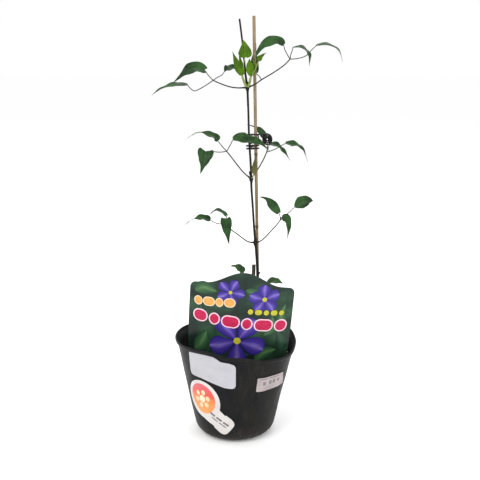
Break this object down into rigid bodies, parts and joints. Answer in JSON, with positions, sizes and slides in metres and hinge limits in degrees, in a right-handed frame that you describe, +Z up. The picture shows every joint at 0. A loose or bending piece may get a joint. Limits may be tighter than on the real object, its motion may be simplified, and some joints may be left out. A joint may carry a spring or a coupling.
{
  "type": "potted clematis on a bamboo cane",
  "caption": "Young climbing plant with twice-divided hanging leaves, wired to a slim cane in a soft nursery pot with a picture card",
  "frame": {"origin": "centre of the pot's flat underside", "axes": "+Z up along the cane; +X to the viewer's right and -Y towards the viewer, who sees the card's printed side"},
  "size_m": [0.2207, 0.1472, 0.506],
  "materials": {
    "pot_plastic": "thin black polyethylene, scuffed and dusty",
    "soil": "dark crumbly potting mix",
    "bamboo": "dry tan bamboo, browner towards the foot",
    "old_bark": "dull olive-brown bark with a pale cut end",
    "dark_stem": "smooth near-black young bark",
    "mature_leaf": "dark green leaf with a soft sheen",
    "young_leaf": "bright lime-green young leaf",
    "olive_leaf": "pale olive young leaf",
    "coated_wire": "black plastic-coated wire",
    "printed_card": "glossy printed plastic card",
    "white_sticker": "bare greyish-white paper label",
    "round_sticker_print": "white label with an orange and red disc",
    "price_sticker_print": "pinkish-grey paper label with plain bars"
  },
  "bodies": {
    "root": {"pot": "pot_plastic", "potting_soil": "soil", "bamboo_cane": "bamboo", "old_stem": "old_bark", "climbing_stem": "dark_stem", "leaf_upper_left": "mature_leaf", "leaf_upper_right": "mature_leaf", "leaf_middle_left": "mature_leaf", "leaf_middle_right": "mature_leaf", "leaf_lower_left": "mature_leaf", "leaf_lower_right": "mature_leaf", "leaf_base_left": "mature_leaf", "leaf_base_right": "mature_leaf", "shoot_upper_left": "young_leaf", "shoot_upper_right": "young_leaf", "shoot_middle": "olive_leaf", "wire_tie": "coated_wire", "picture_card": "printed_card", "name_sticker": "white_sticker", "round_sticker": "round_sticker_print", "price_sticker": "price_sticker_print"}
  },
  "joints": []
}
